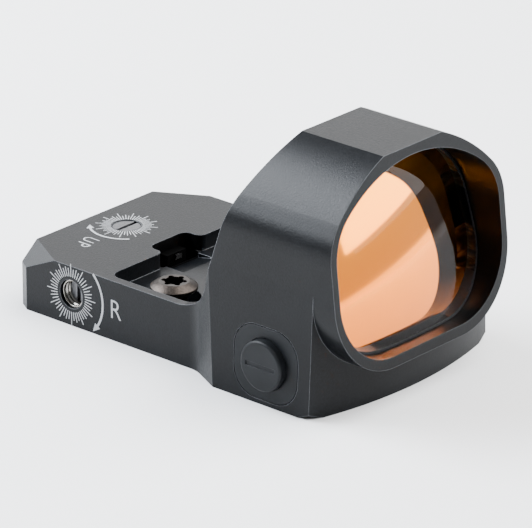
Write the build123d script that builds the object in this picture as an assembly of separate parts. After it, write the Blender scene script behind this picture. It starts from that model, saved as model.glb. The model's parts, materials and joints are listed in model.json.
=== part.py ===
from build123d import *
import math
import os

# Compact open reflex sight: a machined housing with a window hood at the front,
# a low deck with two dials at the back, and a light emitter in between.
# Millimetres, +Z up, +Y towards the target, +X to the user's right.
# Y is counted from the deck's rear face here; save() moves the origin to the
# middle of the length, on the flat underside.

# Housing outline
base_length = 45.8
deck_half_width = 12.5
deck_height = 6.93
base_half_width = 14.5
hood_half_width = 14.0
hood_height = 26.8
lean_height = 14.0
front_arc_radius = 49.0
front_corner_setback = 1.4
rear_corner_width = 0.86
rear_corner_length = 1.43
rear_facet_width = 3.23
rear_facet_length = 5.73
rear_facet_drop = 1.91
bottom_corner_length = 2.3
bottom_corner_width = 2.0
bottom_corner_height = 1.0
flare_length = 4.05
flare_radius = 4.0
flare_to_front = 15.45

# Hood and window ring
shoulder_radius = 22.0
shoulder_angle = 44.0
side_radius = 6.0
side_radius_drop = 9.3
top_flat_to_front = 11.7
ring_top_setback = 0.67
ring_lean = 0.112
ring_bottom = 4.3
ring_corner_radius = 8.5
rim_rake = 0.34
rim_fillet_radius = 5.6
window_wall = 0.9
window_bottom = 5.5
window_top_wall = 1.05
window_corner_radius = 7.6
window_side_radius = 6.1
window_side_drop = 9.6
seat_width = 0.8

# Lens
lens_foot_setback = 0.1
lens_slope = 0.33
lens_radius = 75.0
lens_bulge = 1.0
lens_front_thickness = 1.8
lens_rear_thickness = 1.7
seal_thickness = 0.3

# Pocket behind the lens and the emitter notch
pocket_half_width = 11.5
pocket_rear = 12.9
pocket_depth = 1.83
pocket_to_front = 5.3
pocket_corner_radius = 1.3
pocket_wall_height = 11.0
notch_half_width = 3.0
notch_length = 2.3
notch_radius = 1.1
notch_mouth_radius = 0.8
ramp_length = 2.6
ramp_half_width = 2.6

# Mounting screws
screw_x = 8.1
screw_y = 19.15
screw_shank_radius = 1.5
screw_head_radius = 2.57
screw_head_bottom = 5.95
screw_head_height = 1.0
screw_head_rim = 0.45
screw_head_flat = 1.65
screw_head_foot = 0.18
screw_seat_height = 2.6
screw_head_clearance = 0.33
socket_core_radius = 1.05
socket_lobe_radius = 0.33
socket_lobe_offset = 1.07
socket_depth = 1.4

# Locating recesses in the underside
recess_radius = 1.5
recess_depth = 1.5
recess_x = 9.5
recess_rear_y = 3.6
recess_front_y = 27.5

# Adjuster cavity and its base plate
floor_height = 1.0
cavity_half_width = 6.5
cavity_rear = 2.0
cavity_roof = 4.55
cavity_front_wall = 0.4
plate_thickness = 0.8
plate_margin = 0.9
post_width = 1.6
plate_screw_radius = 0.5
plate_screw_head = 0.85
plate_screw_head_height = 0.45
plate_screw_length = 2.6

# Board cavity
board_half_width = 4.6
board_rear = 13.6
board_cavity_length = 10.6
board_roof = 3.9
board_bottom = 1.6
board_thickness = 0.6
wire_slot_half_width = 1.5

# Elevation adjuster
elevation_y = 4.7
elevation_head_radius = 1.55
elevation_shaft_radius = 1.0
elevation_flange_radius = 2.4
elevation_flange_space = 1.1
retainer_thickness = 0.55
adjuster_recess = 0.08
adjuster_slot_width = 0.5
adjuster_slot_depth = 0.55
running_gap = 0.04

# Windage adjuster
windage_y = 8.15
windage_z = 3.65
windage_head_radius = 1.24
windage_head_length = 1.1
windage_head_depth = 1.2
windage_shaft_radius = 0.7
bushing_wall = 0.34
bushing_length = 2.8
bushing_recess = 0.3
windage_retainer_radius = 1.3
windage_retainer_thickness = 0.4

# Emitter carriage
slide_half_width = 2.6
slide_height = 2.2
slide_rear = 2.7
slide_length = 6.6
rib_depth = 0.8
rib_height = 0.8
carriage_length = 2.8
blade_thickness = 0.7
prong_thickness = 0.6
nut_height = 2.0
nut_length = 2.6
holder_half_width = 1.5
holder_depth = 1.1
holder_top = 5.75
emitter_half_width = 0.45
emitter_depth = 0.35
emitter_height = 0.55

# Battery
battery_to_front = 10.5
battery_radius = 8.0
battery_height = 3.06
battery_gap = 0.2
cap_rim_width = 0.62
cap_flange_height = 0.8
cap_floor = 1.2
cap_neck_height = 2.2
cap_wall = 0.8
cap_clearance = 0.08
cap_slot_length = 12.0
cap_slot_width = 1.6
cap_slot_depth = 0.45

# Buttons
pad_length = 8.8
pad_height = 8.2
pad_bottom = 0.53
pad_radius = 3.0
pad_to_front = 8.2
pad_floor = 13.2
pad_gap = 0.1
button_radius = 2.8
button_reach = 15.25
button_flange_width = 0.3
button_flange_length = 0.45
button_clearance = 0.06
button_stem_radius = 1.2
button_stem_length = 0.3
button_mark_length = 4.0
button_mark_width = 0.5
button_mark_depth = 0.12
switch_wall = 0.35
switch_floor = pocket_half_width + switch_wall
lead_radius = 0.45
lead_hole_radius = 0.5
lead_drop = 1.4
switch_board_thickness = 0.35
dome_height = 0.35
dome_radius = 1.9


def ring_y(z):
    """Y of the leaning window ring's front plane at height z."""
    return base_length - ring_top_setback + ring_lean * (hood_height - z)


overall_length = ring_y(ring_bottom)
tall = 2 * hood_height


def box(x0, x1, y0, y1, z0, z1):
    """Box between two corners."""
    middle = Pos((x0 + x1) / 2, (y0 + y1) / 2, (z0 + z1) / 2)
    return middle * Box(x1 - x0, y1 - y0, z1 - z0)


def post(x, y, radius, z0, z1):
    """Upright cylinder."""
    return Pos(x, y, (z0 + z1) / 2) * Cylinder(radius, z1 - z0)


def bar(y, z, radius, x0, x1):
    """Cylinder along X."""
    return Pos((x0 + x1) / 2, y, z) * Rot(0, 90, 0) * Cylinder(radius, abs(x1 - x0))


def along_y(sketch, y0, y1):
    """Extrude an X-Z outline from y0 to y1."""
    return extrude(Plane.XZ.offset(-y0) * sketch, amount=-(y1 - y0))


def along_x(sketch, x0, x1):
    """Extrude a Y-Z outline from x0 to x1."""
    return extrude(Plane.YZ.offset(x0) * sketch, amount=x1 - x0)


def along_z(sketch, z0, z1):
    """Extrude an X-Y outline from z0 to z1."""
    return extrude(Plane.XY.offset(z0) * sketch, amount=z1 - z0)


def arc(cx, cy, radius, start, end):
    """Arc about a centre between two angles in degrees."""
    points = []
    for angle in (start, (start + end) / 2, end):
        turn = math.radians(angle)
        points.append((cx + radius * math.cos(turn), cy + radius * math.sin(turn)))
    return ThreePointArc(*points)


def symmetric_face(half):
    """Close a half outline with its mirror image."""
    return make_face(half + mirror(half, about=Plane.YZ))


def shoulder_curve():
    """Outer shoulder of the hood, from the side up to the top flat."""
    side_x = hood_half_width - side_radius
    side_z = hood_height - side_radius_drop
    turn = math.radians(shoulder_angle)
    step = shoulder_radius - side_radius
    top_x = side_x - step * math.cos(turn)
    top_z = side_z - step * math.sin(turn)
    end = math.degrees(math.asin((hood_height - top_z) / shoulder_radius))
    flat_x = top_x + shoulder_radius * math.cos(math.radians(end))
    curve = arc(side_x, side_z, side_radius, 0, shoulder_angle)
    curve += arc(top_x, top_z, shoulder_radius, shoulder_angle, end)
    curve += Line((flat_x, hood_height), (0, hood_height))
    return curve


def body_outline():
    """Front view of the whole housing."""
    side_z = hood_height - side_radius_drop
    half = Line((0, 0), (base_half_width, 0))
    half += Line((base_half_width, 0), (hood_half_width, lean_height))
    half += Line((hood_half_width, lean_height), (hood_half_width, side_z))
    half += shoulder_curve()
    return symmetric_face(half)


def ring_outline():
    """Front view of the ring round the window."""
    corner_x = hood_half_width - ring_corner_radius
    corner_z = ring_bottom + ring_corner_radius
    side_z = hood_height - side_radius_drop
    half = Line((0, ring_bottom), (corner_x, ring_bottom))
    half += arc(corner_x, corner_z, ring_corner_radius, -90, 0)
    half += Line((hood_half_width, corner_z), (hood_half_width, side_z))
    half += shoulder_curve()
    return symmetric_face(half)


def window_outline():
    """Front view of the window opening."""
    half_width = hood_half_width - window_wall
    top = hood_height - window_top_wall
    corner_x = half_width - window_corner_radius
    corner_z = window_bottom + window_corner_radius
    side_x = half_width - window_side_radius
    side_z = hood_height - window_side_drop
    reach = top - window_side_radius
    top_z = (reach**2 - side_x**2 - side_z**2) / (2 * (reach - side_z))
    end = math.degrees(math.atan2(side_z - top_z, side_x))
    half = Line((0, window_bottom), (corner_x, window_bottom))
    half += arc(corner_x, corner_z, window_corner_radius, -90, 0)
    half += Line((half_width, corner_z), (half_width, side_z))
    half += arc(side_x, side_z, window_side_radius, 0, end)
    half += arc(0, top_z, top - top_z, end, 90)
    return symmetric_face(half)


def plan_outline():
    """Top view of the housing: straight deck, flare and bowed front."""
    flare_end = base_length - flare_to_front
    flare_start = flare_end - flare_length
    turn = math.atan2(base_half_width - deck_half_width, flare_length)
    tangent = flare_radius * math.tan(turn / 2)
    bend_start = (deck_half_width, flare_start - tangent)
    bend_end = (
        deck_half_width + tangent * math.sin(turn),
        flare_start + tangent * math.cos(turn),
    )
    corner = (base_half_width, base_length - front_corner_setback)
    reach = corner[0] / front_arc_radius
    corner_drop = front_arc_radius * (1 - math.sqrt(1 - reach**2))
    front_edge = (base_half_width, base_length - corner_drop)
    half = Line((0, 0), (deck_half_width - rear_corner_width, 0))
    half += Line(
        (deck_half_width - rear_corner_width, 0), (deck_half_width, rear_corner_length)
    )
    half += Line((deck_half_width, rear_corner_length), bend_start)
    half += TangentArc(bend_start, bend_end, tangent=(0, 1))
    half += Line(bend_end, (base_half_width, flare_end))
    half += Line((base_half_width, flare_end), front_edge)
    start = math.degrees(math.asin(reach))
    half += arc(0, base_length - front_arc_radius, front_arc_radius, 90 - start, 90)
    return symmetric_face(half)


def side_outline():
    """Side view: flat deck, concave rise and raked hood rim."""
    top_rear = base_length - top_flat_to_front
    stretch = math.sqrt(1 + rim_rake**2)
    centre_z = deck_height + rim_fillet_radius
    rim_y = top_rear - rim_rake * (hood_height - centre_z)
    centre_y = rim_y - rim_fillet_radius * stretch
    end = -math.degrees(math.atan(rim_rake))
    rise_y = centre_y + rim_fillet_radius / stretch
    rise_z = centre_z - rim_fillet_radius * rim_rake / stretch
    front = base_length * 2
    outline = Line((0, 0), (0, deck_height))
    outline += Line((0, deck_height), (centre_y, deck_height))
    outline += arc(centre_y, centre_z, rim_fillet_radius, -90, end)
    outline += Line((rise_y, rise_z), (top_rear, hood_height))
    outline += Line((top_rear, hood_height), (front, hood_height))
    outline += Line((front, hood_height), (front, 0))
    outline += Line((front, 0), (0, 0))
    return make_face(outline)


def cut_corner(shape, point, normal):
    """Keep what lies behind a slanted plane."""
    return split(shape, bisect_by=Plane(origin=point, z_dir=normal), keep=Keep.BOTTOM)


def cross(a, b):
    """Vector product of two tuples."""
    return (
        a[1] * b[2] - a[2] * b[1],
        a[2] * b[0] - a[0] * b[2],
        a[0] * b[1] - a[1] * b[0],
    )


def cut_facets(shape):
    """Slanted facets at the deck's rear corners and the base's front corners."""
    front_y = base_length - front_corner_setback
    for side in (-1, 1):
        facet = (side * (deck_half_width - rear_facet_width), 0, deck_height)
        edge = (side * rear_facet_width, rear_facet_length, 0)
        drop_x = rear_facet_width - rear_corner_width
        drop = (side * drop_x, 0, -rear_facet_drop)
        normal = cross(edge, drop)
        if normal[2] > 0:
            normal = tuple(-value for value in normal)
        near = box(-tall, tall, -1, 2 * rear_facet_length, 0, deck_height + 1)
        shape -= cut_corner(near, facet, normal)
        low = (side * base_half_width, front_y - bottom_corner_length, 0)
        across = (-side * bottom_corner_width, bottom_corner_length, 0)
        up = (0, bottom_corner_length, bottom_corner_height)
        normal = cross(across, up)
        if normal[2] > 0:
            normal = tuple(-value for value in normal)
        shape = cut_corner(shape, low, normal)
    return shape


def make_blank():
    """Outer shape of the housing, before any hollow is cut."""
    base = along_z(plan_outline(), 0, hood_height)
    base = base & along_y(body_outline(), -1, 2 * base_length)
    base = base & along_x(side_outline(), -base_length, base_length)
    ring = along_y(ring_outline(), base_length - pocket_to_front, base_length + 5)
    blank = base + ring
    face = (0, ring_y(0), 0)
    blank = cut_corner(blank, face, (0, 1, ring_lean))
    return cut_facets(blank)


def lens_frame():
    """Centre of the lens surfaces and the window's middle height."""
    middle_z = (window_bottom + hood_height - window_top_wall) / 2
    stretch = math.sqrt(1 + lens_slope**2)
    foot_y = base_length - lens_foot_setback
    middle_y = foot_y - lens_slope * (middle_z - window_bottom)
    back = lens_radius - lens_bulge
    return (0, middle_y - back / stretch, middle_z - back * lens_slope / stretch)


def lens_ball(depth):
    """Ball whose skin is the lens surface at a depth behind the front."""
    return Pos(*lens_frame()) * Sphere(lens_radius - depth)


def window_prism(inset, start):
    """Window opening, inset all round, from y = start to past the front."""
    outline = window_outline()
    if inset > 0:
        outline = offset(outline, amount=-inset)
    return along_y(outline, start, base_length + 10)


def cut_window(shape):
    """Window tunnel with a step that the lens rests on."""
    depth = lens_front_thickness + lens_rear_thickness
    rear = pocket_rear + 2
    front = window_prism(0, rear) - lens_ball(depth)
    tunnel = window_prism(seat_width + seal_thickness, rear)
    return shape - front - tunnel


def cut_pocket(shape):
    """Open pocket in the deck behind the lens, with the emitter notch."""
    floor = deck_height - pocket_depth
    front = base_length - pocket_to_front
    outline = Pos(0, (pocket_rear + front) / 2) * RectangleRounded(
        2 * pocket_half_width, front - pocket_rear, pocket_corner_radius
    )
    notch = Pos(0, pocket_rear) * RectangleRounded(
        2 * notch_half_width, 2 * notch_length, notch_radius
    )
    opening = outline + notch
    mouth = [
        vertex
        for vertex in opening.vertices()
        if abs(vertex.Y - pocket_rear) < 0.01 and abs(vertex.X) < notch_half_width + 0.1
    ]
    opening = fillet(mouth, notch_mouth_radius)
    shape -= along_z(opening, floor, pocket_wall_height)
    shaft = along_z(notch, cavity_roof, floor)
    shape -= shaft & box(-tall, tall, 0, pocket_rear, 0, tall)
    ramp = Polyline(
        (pocket_rear - 0.1, cavity_roof),
        (pocket_rear, cavity_roof),
        (pocket_rear + ramp_length, floor),
        (pocket_rear + ramp_length, floor + 0.5),
        (pocket_rear - 0.1, floor + 0.5),
        close=True,
    )
    return shape - along_x(make_face(ramp), -ramp_half_width, ramp_half_width)


def plate_outline(inset):
    """T-shaped base plate outline in the underside."""
    wide = cavity_half_width + plate_margin - inset
    narrow = board_half_width + plate_margin - inset
    rear = cavity_rear - plate_margin + inset
    step = board_rear - plate_margin / 2 - inset
    front = board_rear + board_cavity_length + plate_margin - inset
    half = Polyline(
        (0, rear), (wide, rear), (wide, step), (narrow, step), (narrow, front), (0, front)
    )
    return symmetric_face(half)


def plate_screw_places():
    """Positions of the four base plate screws, on posts in the cavities."""
    rear_x = cavity_half_width - post_width / 2
    rear_y = cavity_rear + post_width / 2
    front_x = board_half_width - post_width / 2
    front_y = board_rear + board_cavity_length - post_width / 2
    return [
        (side * x, y) for side in (-1, 1) for x, y in ((rear_x, rear_y), (front_x, front_y))
    ]


def cavities():
    """Adjuster and board cavities, less the four screw posts."""
    front = pocket_rear - cavity_front_wall
    room = box(-cavity_half_width, cavity_half_width, cavity_rear, front, 0, cavity_roof)
    end = board_rear + board_cavity_length
    room += box(-board_half_width, board_half_width, board_rear, end, 0, board_roof)
    slot = wire_slot_half_width
    room += box(-slot, slot, front - 0.5, board_rear + 0.5, 0, board_bottom + 0.8)
    half = post_width / 2 + 0.01
    for x, y in plate_screw_places():
        room -= box(x - half, x + half, y - half, y + half, floor_height, tall)
    return room


def cut_underside(shape):
    """Base plate seat, cavities, battery bore and locating recesses."""
    shape -= along_z(plate_outline(0), -1, floor_height)
    shape -= cavities()
    for x, y in plate_screw_places():
        shape -= post(x, y, plate_screw_radius, 0, floor_height + plate_screw_length)
    battery_y = base_length - battery_to_front
    flange = battery_radius + battery_gap + cap_wall + cap_rim_width
    neck = battery_radius + battery_gap + cap_wall
    shape -= post(0, battery_y, flange, -1, cap_flange_height + 0.05)
    shape -= post(0, battery_y, neck, -1, cap_neck_height + 0.1)
    room = battery_radius + battery_gap
    top = cap_floor + battery_height + 0.14
    shape -= post(0, battery_y, room, -1, top)
    slot = wire_slot_half_width
    rear = board_rear + board_cavity_length - 0.5
    shape -= box(-slot, slot, rear, battery_y, cap_neck_height + 0.4, board_roof)
    for x in (-recess_x, recess_x):
        for y in (recess_rear_y, recess_front_y):
            shape -= post(x, y, recess_radius, -1, recess_depth)
    return shape


def cut_adjusters(shape):
    """Bores for the two adjusting screws."""
    bore = elevation_head_radius + running_gap
    shape -= post(0, elevation_y, bore, cavity_roof, tall)
    space = elevation_flange_radius + 0.2
    roof = cavity_roof + elevation_flange_space
    shape -= post(0, elevation_y, space, cavity_roof - 0.5, roof)
    outer = windage_head_radius + 0.08 + bushing_wall
    inner_end = deck_half_width - bushing_recess - bushing_length
    shape -= bar(windage_y, windage_z, outer, inner_end, deck_half_width + 2)
    hole = windage_shaft_radius + running_gap
    shape -= bar(windage_y, windage_z, hole, cavity_half_width - 1, inner_end + 1)
    relief = windage_retainer_radius + 0.2
    relief_start = cavity_half_width - 0.6
    shape -= bar(windage_y, windage_z, relief, relief_start, cavity_half_width)
    return shape


def cut_screw_holes(shape):
    """Mounting screw holes with counterbores below the heads."""
    head = screw_head_radius + screw_head_clearance
    for x in (-screw_x, screw_x):
        shape -= post(x, screw_y, screw_shank_radius, -1, tall / 2)
        shape -= post(x, screw_y, head, screw_seat_height, deck_height + 1)
    return shape


def pad_prism(side, inset, x0, x1):
    """Rounded button pad block on one side of the base."""
    y = base_length - pad_to_front
    z = pad_bottom + pad_height / 2
    outline = Pos(y, z) * RectangleRounded(
        pad_length - 2 * inset, pad_height - 2 * inset, pad_radius - inset
    )
    if side > 0:
        return along_x(outline, x0, x1)
    return along_x(outline, -x1, -x0)


def button_place():
    """Y and Z of the button centre."""
    return base_length - pad_to_front, pad_bottom + pad_height / 2


def side_bar(side, radius, x0, x1):
    """Cylinder on the button axis, on one side."""
    y, z = button_place()
    if side > 0:
        return bar(y, z, radius, x0, x1)
    return bar(y, z, radius, -x1, -x0)


def cut_buttons(shape):
    """Pad recesses, switch rooms and wire holes on both sides."""
    room = button_radius + button_flange_width + 2 * button_clearance
    y, z = button_place()
    lead_z = z - lead_drop
    lead_start = battery_radius - 1
    for side in (-1, 1):
        shape -= pad_prism(side, 0, pad_floor, base_half_width + 2)
        shape -= side_bar(side, room, switch_floor, pad_floor)
        shape -= bar(y, lead_z, lead_hole_radius, side * lead_start, side * switch_floor)
    return shape


def make_housing(blank):
    """Housing: the blank less everything that goes in it."""
    shape = cut_window(blank)
    shape = cut_pocket(shape)
    shape = cut_underside(shape)
    shape = cut_adjusters(shape)
    shape = cut_screw_holes(shape)
    return cut_buttons(shape)


def make_lens(inset, front_depth, rear_depth):
    """Piece of the lens between two surfaces, inset from the window's wall."""
    start = base_length - 4 * pocket_to_front
    return (window_prism(inset, start) & lens_ball(front_depth)) - lens_ball(rear_depth)


def make_lens_parts():
    """Two cemented glass elements and the seal round them."""
    depth = lens_front_thickness + lens_rear_thickness
    front = make_lens(seal_thickness, 0, lens_front_thickness)
    rear = make_lens(seal_thickness, lens_front_thickness, depth)
    seal = make_lens(0, 0, depth) - window_prism(seal_thickness, 0)
    return {"lens_front_element": front, "lens_rear_element": rear, "lens_seal": seal}


def make_base_plate():
    """Base plate with its gasket and four countersunk screws."""
    fit = 0.05
    plate = along_z(plate_outline(fit), 0, plate_thickness)
    gasket = along_z(plate_outline(fit), plate_thickness, floor_height)
    gasket -= cavities()
    screws = []
    top = floor_height + plate_screw_length - 0.2
    for x, y in plate_screw_places():
        plate -= post(x, y, plate_screw_radius + 0.05, -1, 2)
        plate -= post(x, y, plate_screw_head + 0.05, -1, plate_screw_head_height)
        gasket -= post(x, y, plate_screw_radius + 0.05, -1, 2)
        screw = post(x, y, plate_screw_radius, plate_screw_head_height, top)
        head = post(x, y, plate_screw_head, 0.05, plate_screw_head_height)
        slot = box(x - 0.6, x + 0.6, y - 0.12, y + 0.12, 0, 0.25)
        screws.append(screw + head - slot)
    return {
        "base_plate": plate,
        "base_plate_gasket": gasket,
        "base_plate_screws": Compound(children=screws),
    }


def ring_seal(place, major, minor):
    """Round seal ring."""
    return place * Torus(major, minor)


def make_elevation():
    """Elevation screw, its seal, retaining ring and the slide it lifts."""
    top = deck_height - adjuster_recess
    roof = cavity_roof + elevation_flange_space
    y = elevation_y
    flange_top = roof - 0.05
    flange_bottom = cavity_roof + retainer_thickness + 0.05
    tip = floor_height + 0.3
    screw = post(0, y, elevation_head_radius, roof, top)
    screw += post(0, y, elevation_flange_radius, flange_bottom, flange_top)
    screw += post(0, y, elevation_shaft_radius, tip, roof + 0.2)
    screw -= box(
        -tall, tall, y - adjuster_slot_width / 2, y + adjuster_slot_width / 2,
        top - adjuster_slot_depth, tall,
    )
    groove_z = roof + 0.45
    groove = elevation_head_radius - 0.45
    cut = post(0, y, 2 * groove, groove_z - 0.25, groove_z + 0.25)
    screw -= cut - post(0, y, groove, 0, tall)
    seal = ring_seal(Pos(0, y, groove_z), groove + 0.23, 0.22)
    retainer = post(
        0, y, elevation_flange_radius + 0.2, cavity_roof, cavity_roof + retainer_thickness
    )
    retainer -= post(0, y, elevation_shaft_radius + 0.15, 0, tall)
    middle = (floor_height + cavity_roof) / 2
    low = middle - slide_height / 2
    high = middle + slide_height / 2
    rear = slide_rear
    end = slide_rear + slide_length
    slide = box(-slide_half_width, slide_half_width, rear, end, low, high)
    rib_x = slide_half_width - 0.4
    slide += box(
        -rib_x, rib_x, end, end + rib_depth, middle - rib_height / 2, middle + rib_height / 2
    )
    slide -= post(0, y, elevation_shaft_radius + running_gap, 0, tall)
    return {
        "elevation_screw": screw,
        "elevation_oring": seal,
        "elevation_retainer": retainer,
        "elevation_slide": slide,
    }


def make_carriage():
    """Carriage that slides sideways on the elevation slide, with the emitter."""
    gap = 0.05
    middle = (floor_height + cavity_roof) / 2
    low = middle - slide_height / 2
    high = middle + slide_height / 2
    rear = slide_rear + slide_length + 0.1
    end = rear + carriage_length
    carriage = box(-slide_half_width, slide_half_width, rear, end, low, high)
    rib = rib_height / 2 + gap
    carriage -= box(-tall, tall, 0, rear + rib_depth, middle - rib, middle + rib)
    blade_x = slide_half_width + 0.75 + prong_thickness
    neck_y = end - prong_thickness
    neck_low = middle - 0.9
    neck_high = middle + 0.9
    carriage += box(
        slide_half_width - 0.1, blade_x + blade_thickness, neck_y, end, neck_low, neck_high
    )
    blade_rear = rear + 0.9
    carriage += box(
        blade_x, blade_x + blade_thickness, blade_rear, end, neck_low, neck_high
    )
    face = pocket_rear - cavity_front_wall - 0.4
    holder = box(
        -holder_half_width, holder_half_width, face - holder_depth, face, high, holder_top
    )
    chip_top = holder_top - 0.1
    chip = box(
        -emitter_half_width, emitter_half_width, face, face + emitter_depth,
        chip_top - emitter_height, chip_top,
    )
    nut = make_windage_nut(blade_x, neck_y - 0.15, middle)
    return {
        "led_carriage": carriage,
        "led_holder": holder,
        "led_chip": chip,
        "windage_nut": nut,
    }


def make_windage_nut(blade_x, prong_end, middle):
    """Nut on the windage screw with a fork that pushes the carriage."""
    gap = 0.05
    left = blade_x - gap - prong_thickness
    right = blade_x + blade_thickness + gap + prong_thickness
    rear = windage_y - nut_length / 2
    end = windage_y + nut_length / 2
    nut_top = cavity_roof - 0.1
    nut = box(left, right, rear, end, nut_top - nut_height, nut_top)
    for x in (left, right - prong_thickness):
        nut += box(x, x + prong_thickness, end - 0.1, prong_end, middle - 0.3, middle + 0.5)
    return nut - bar(windage_y, windage_z, windage_shaft_radius + running_gap, 0, tall)


def make_windage():
    """Windage screw with its seal, threaded bushing and retaining washer."""
    y = windage_y
    z = windage_z
    outer = windage_head_radius + 0.08 + bushing_wall
    mouth = deck_half_width - bushing_recess
    inner_end = mouth - bushing_length
    bushing = bar(y, z, outer, inner_end, mouth)
    bushing -= bar(y, z, windage_head_radius + 0.08, 0, tall)
    head_end = deck_half_width - windage_head_depth
    head_start = head_end - windage_head_length
    tip = slide_half_width + 0.1
    screw = bar(y, z, windage_head_radius, head_start, head_end)
    screw += bar(y, z, windage_shaft_radius, tip, head_start + 0.2)
    screw -= box(
        head_end - adjuster_slot_depth, tall, y - adjuster_slot_width / 2,
        y + adjuster_slot_width / 2, -tall, tall,
    )
    groove_x = head_start + 0.3
    groove = windage_head_radius - 0.36
    cut = bar(y, z, 2 * groove, groove_x - 0.22, groove_x + 0.22)
    screw -= cut - bar(y, z, groove, 0, tall)
    seal = ring_seal(Pos(groove_x, y, z) * Rot(0, 90, 0), groove + 0.2, 0.18)
    clip_end = cavity_half_width - 0.1
    clip = bar(y, z, windage_retainer_radius, clip_end - windage_retainer_thickness, clip_end)
    clip -= bar(y, z, windage_shaft_radius, 0, tall)
    return {
        "windage_screw": screw,
        "windage_oring": seal,
        "windage_bushing": bushing,
        "windage_retainer": clip,
    }


def make_board():
    """Circuit board and the parts soldered on it."""
    top = board_bottom + board_thickness
    edge = board_half_width - 0.1
    rear = board_rear + 0.1
    front = board_rear + board_cavity_length - post_width - 0.1
    middle = (rear + front) / 2
    board = box(-edge, edge, rear, front, board_bottom, top)
    chip = box(-2.2, 1.2, middle - 1.7, middle + 1.7, top, top + 0.9)
    sensor = box(2.0, 4.0, middle - 1, middle + 1, top, top + 0.8)
    caps = []
    for y in (rear + 0.8, front - 0.8):
        for x in (-3.0, -1.0, 1.0, 3.0):
            caps.append(box(x - 0.5, x + 0.5, y - 0.25, y + 0.25, top, top + 0.5))
    return {
        "circuit_board": board,
        "controller_chip": chip,
        "motion_sensor": sensor,
        "capacitors": Compound(children=caps),
    }


def make_battery():
    """Coin cell, its contacts, the slotted cap and the cap's seal."""
    y = base_length - battery_to_front
    bottom = cap_floor + 0.02
    top = bottom + battery_height
    cell = post(0, y, battery_radius, bottom, top)
    cell = chamfer(cell.edges().filter_by(GeomType.CIRCLE), 0.2)
    roof = cap_floor + battery_height + 0.14
    negative = post(0, y, 3.0, top + 0.03, roof)
    wall = battery_radius + battery_gap
    arm = post(0, y, wall, cap_neck_height + 0.3, roof - 0.2)
    arm -= post(0, y, wall - 0.14, 0, tall)
    positive = arm & box(-2.5, 2.5, y, y + 2 * wall, 0, tall)
    neck = wall + cap_wall - cap_clearance
    flange = wall + cap_wall + cap_rim_width - cap_clearance
    cap = post(0, y, flange, 0.05, cap_flange_height)
    cap += post(0, y, neck, cap_flange_height - 0.1, cap_neck_height)
    cap -= post(0, y, battery_radius + 0.1, cap_floor, tall)
    groove = neck - 0.45
    groove_z = cap_flange_height + 0.26
    cut = post(0, y, 2 * neck, groove_z - 0.26, groove_z + 0.26)
    cap -= cut - post(0, y, groove, -tall, tall)
    half = cap_slot_length / 2
    side = cap_slot_width / 2
    cap -= box(-half, half, y - side, y + side, -1, cap_slot_depth)
    seal = ring_seal(Pos(0, y, groove_z), groove + 0.25, 0.24)
    return {
        "battery": cell,
        "battery_contact_negative": negative,
        "battery_contact_positive": positive,
        "battery_cap": cap,
        "battery_cap_oring": seal,
    }


def make_button(side, blank):
    """Rubber pad, push button, switch board and dome of one side."""
    y, z = button_place()
    bore = button_radius + button_clearance
    flange = button_radius + button_flange_width
    pad = pad_prism(side, pad_gap, pad_floor, base_half_width + 1) & blank
    pad -= side_bar(side, bore, 0, tall)
    flange_end = pad_floor + 0.05 + button_flange_length
    pad -= side_bar(side, flange + button_clearance, 0, flange_end + 0.05)
    cap = side_bar(side, button_radius, pad_floor + 0.05, button_reach)
    rim = cap.faces().sort_by(Axis.X)[-1 if side > 0 else 0].edges()
    cap = fillet(rim, 0.3)
    cap += side_bar(side, flange, pad_floor + 0.05, flange_end)
    stem_start = pad_floor + 0.05 - button_stem_length
    cap += side_bar(side, button_stem_radius, stem_start, pad_floor + 0.2)
    half = button_mark_length / 2
    wide = button_mark_width / 2
    inner = side * (button_reach - button_mark_depth)
    outer = side * (button_reach + 1)
    ends = (min(inner, outer), max(inner, outer))
    cap -= box(*ends, y - half, y + half, z - wide, z + wide)
    if side < 0:
        cap -= box(*ends, y - wide, y + wide, z - half, z + half)
    room = button_radius + button_flange_width + 2 * button_clearance
    board_end = switch_floor + switch_board_thickness
    board = side_bar(side, room - 0.1, switch_floor, board_end)
    dome = side_bar(side, dome_radius, board_end, board_end + dome_height)
    top = dome.faces().sort_by(Axis.X)[-1 if side > 0 else 0].edges()
    dome = chamfer(top, dome_height * 0.8, dome_radius / 2)
    name = "right" if side > 0 else "left"
    return {
        "button_pad_" + name: pad,
        "button_" + name: cap,
        "switch_board_" + name: board,
        "dome_switch_" + name: dome,
    }


def make_leads():
    """Insulated leads from the switch boards to the battery room."""
    y, z = button_place()
    lead_z = z - lead_drop
    offset = abs(base_length - battery_to_front - y)
    nearest = max(0, offset - lead_radius)
    start = math.sqrt((battery_radius + battery_gap) ** 2 - nearest**2)
    leads = []
    for side in (-1, 1):
        leads.append(bar(y, lead_z, lead_radius, side * start, side * switch_floor))
    return Compound(children=leads)


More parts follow.
